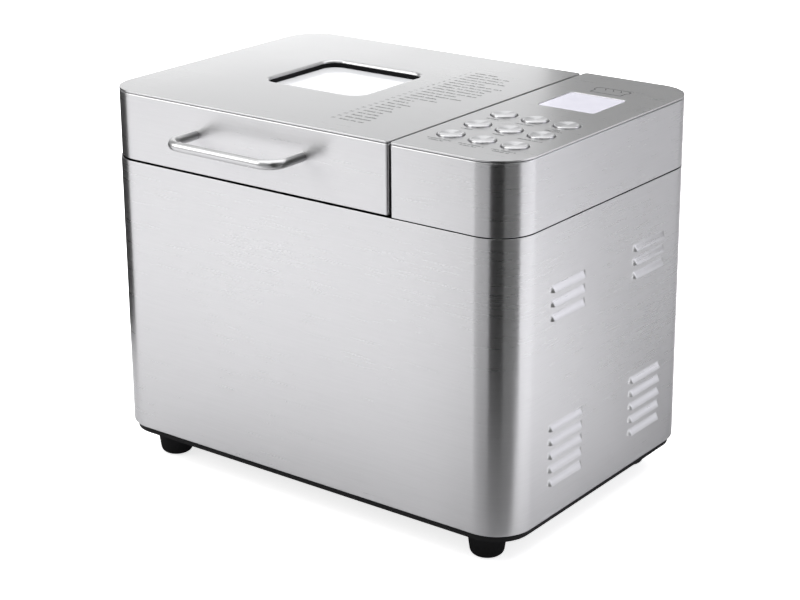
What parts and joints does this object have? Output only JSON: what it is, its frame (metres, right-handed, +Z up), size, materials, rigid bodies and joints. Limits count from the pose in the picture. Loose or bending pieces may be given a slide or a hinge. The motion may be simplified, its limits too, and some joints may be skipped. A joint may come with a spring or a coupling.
{
  "type": "bread machine",
  "caption": "Countertop bread maker: brushed steel case, hinged lid with window and bar handle, push-button panel, oven with lift-out pan and belt-driven paddle.",
  "frame": {"origin": "centre of the bounding box's footprint, on the surface that the feet stand on", "axes": "+X to the right as seen from the front, -Y out of the front, +Z up"},
  "size_m": [0.365, 0.2762, 0.2904],
  "materials": {
    "case_steel": "fine horizontal brushing",
    "top_steel": "fine brushing, a little darker",
    "polished_steel": "satin polish",
    "button_metal": "turned and polished",
    "black_plastic": "fine moulded grain",
    "rubber": "matt",
    "zinc_steel": "zinc plated",
    "oven_steel": "rolled sheet",
    "heater_sheath": "heat darkened",
    "cast_aluminium": "as cast",
    "bronze": "sintered",
    "copper": "enamelled wire",
    "lamination": "stacked sheets",
    "white_plastic": "moulded",
    "circuit_board": "solder resist",
    "nonstick": "non-stick coating",
    "wire_steel": "plated",
    "glass": "clear",
    "display": "clear grey lens"
  },
  "bodies": {
    "root": {"body_shell": "case_steel", "back_panel": "black_plastic", "base_tray": "black_plastic", "feet": "rubber", "case_screws": "zinc_steel", "chassis_plate": "zinc_steel", "deck_frame": "black_plastic", "oven_liner": "oven_steel", "heating_element": "heater_sheath", "oven_sensors": "heater_sheath", "pan_socket": "cast_aluminium", "socket_clips": "zinc_steel", "shaft_housing": "cast_aluminium", "shaft_bushes": "bronze", "drive_belt": "rubber", "motor_stator": "lamination", "motor_windings": "copper", "motor_brackets": "cast_aluminium", "motor_grommets": "rubber", "motor_bolts": "zinc_steel", "run_capacitor": "white_plastic", "power_board": "circuit_board", "cord_gland": "black_plastic", "hinge_brackets": "zinc_steel", "control_band": "case_steel", "control_top_plate": "top_steel", "control_housing": "black_plastic", "control_board": "circuit_board", "display_window": "display"},
    "drive": {"main_shaft": "zinc_steel", "driven_pulley": "white_plastic", "drive_coupling": "cast_aluminium"},
    "motor": {"motor_pulley": "white_plastic", "motor_shaft": "zinc_steel", "motor_rotor": "lamination", "motor_fan": "white_plastic"},
    "pan": {"bread_pan": "nonstick", "pan_base": "cast_aluminium"},
    "paddle": {"pan_shaft": "zinc_steel", "pan_coupling": "cast_aluminium", "kneading_paddle": "nonstick"},
    "bail": {"pan_handle": "wire_steel"},
    "lid": {"lid_band": "case_steel", "lid_top_plate": "top_steel", "lid_frame": "black_plastic", "lid_liner": "oven_steel", "window_glass": "glass", "window_gasket": "rubber", "lid_handle": "polished_steel", "lid_screws": "zinc_steel", "hinge_pins": "zinc_steel"},
    "button_menu": {"button_menu": "button_metal"},
    "button_crust": {"button_crust": "button_metal"},
    "button_loaf": {"button_loaf": "button_metal"},
    "button_hours": {"button_hours": "button_metal"},
    "button_minutes": {"button_minutes": "button_metal"},
    "button_delay": {"button_delay": "button_metal"},
    "button_pause": {"button_pause": "button_metal"},
    "button_start": {"button_start": "button_metal"},
    "button_stop": {"button_stop": "button_metal"}
  },
  "joints": [
    {"name": "lid_hinge", "type": "hinge", "parent": "root", "child": "lid", "pos_m": [-0.04885, 0.12915, 0.2505], "axis": [-1, 0, 0], "range_deg": [0, 90]},
    {"name": "pan_lift", "type": "slide", "parent": "root", "child": "pan", "axis": [0, 0, 1], "range_m": [0, 0.02]},
    {"name": "pan_handle_swing", "type": "hinge", "parent": "pan", "child": "bail", "pos_m": [-0.05, 0.01715, 0.219], "axis": [-1, 0, 0], "range_deg": [0, 30]},
    {"name": "drive_spin", "type": "hinge", "parent": "root", "child": "drive", "pos_m": [-0.05, 0.01715, 0.06], "axis": [0, 0, 1], "continuous": true},
    {"name": "paddle_spin", "type": "hinge", "parent": "pan", "child": "paddle", "pos_m": [-0.05, 0.01715, 0.082], "axis": [0, 0, 1], "continuous": true},
    {"name": "motor_spin", "type": "hinge", "parent": "root", "child": "motor", "pos_m": [0.114, 0.01715, 0.08], "axis": [0, 0, 1], "continuous": true},
    {"name": "menu_press", "type": "slide", "parent": "root", "child": "button_menu", "axis": [0, 0, -1], "range_m": [0, 0.0009], "stiffness_N_per_m": 1200, "springref_m": -0.0005},
    {"name": "crust_press", "type": "slide", "parent": "root", "child": "button_crust", "axis": [0, 0, -1], "range_m": [0, 0.0009], "stiffness_N_per_m": 1200, "springref_m": -0.0005},
    {"name": "loaf_press", "type": "slide", "parent": "root", "child": "button_loaf", "axis": [0, 0, -1], "range_m": [0, 0.0009], "stiffness_N_per_m": 1200, "springref_m": -0.0005},
    {"name": "hours_press", "type": "slide", "parent": "root", "child": "button_hours", "axis": [0, 0, -1], "range_m": [0, 0.0009], "stiffness_N_per_m": 1200, "springref_m": -0.0005},
    {"name": "minutes_press", "type": "slide", "parent": "root", "child": "button_minutes", "axis": [0, 0, -1], "range_m": [0, 0.0009], "stiffness_N_per_m": 1200, "springref_m": -0.0005},
    {"name": "delay_press", "type": "slide", "parent": "root", "child": "button_delay", "axis": [0, 0, -1], "range_m": [0, 0.0009], "stiffness_N_per_m": 1200, "springref_m": -0.0005},
    {"name": "pause_press", "type": "slide", "parent": "root", "child": "button_pause", "axis": [0, 0, -1], "range_m": [0, 0.0009], "stiffness_N_per_m": 1200, "springref_m": -0.0005},
    {"name": "start_press", "type": "slide", "parent": "root", "child": "button_start", "axis": [0, 0, -1], "range_m": [0, 0.0009], "stiffness_N_per_m": 1200, "springref_m": -0.0005},
    {"name": "stop_press", "type": "slide", "parent": "root", "child": "button_stop", "axis": [0, 0, -1], "range_m": [0, 0.0009], "stiffness_N_per_m": 1200, "springref_m": -0.0005}
  ],
  "couplings": [
    {"joint": "paddle_spin", "follows": "drive_spin", "ratio": 1},
    {"joint": "motor_spin", "follows": "drive_spin", "ratio": 6}
  ]
}
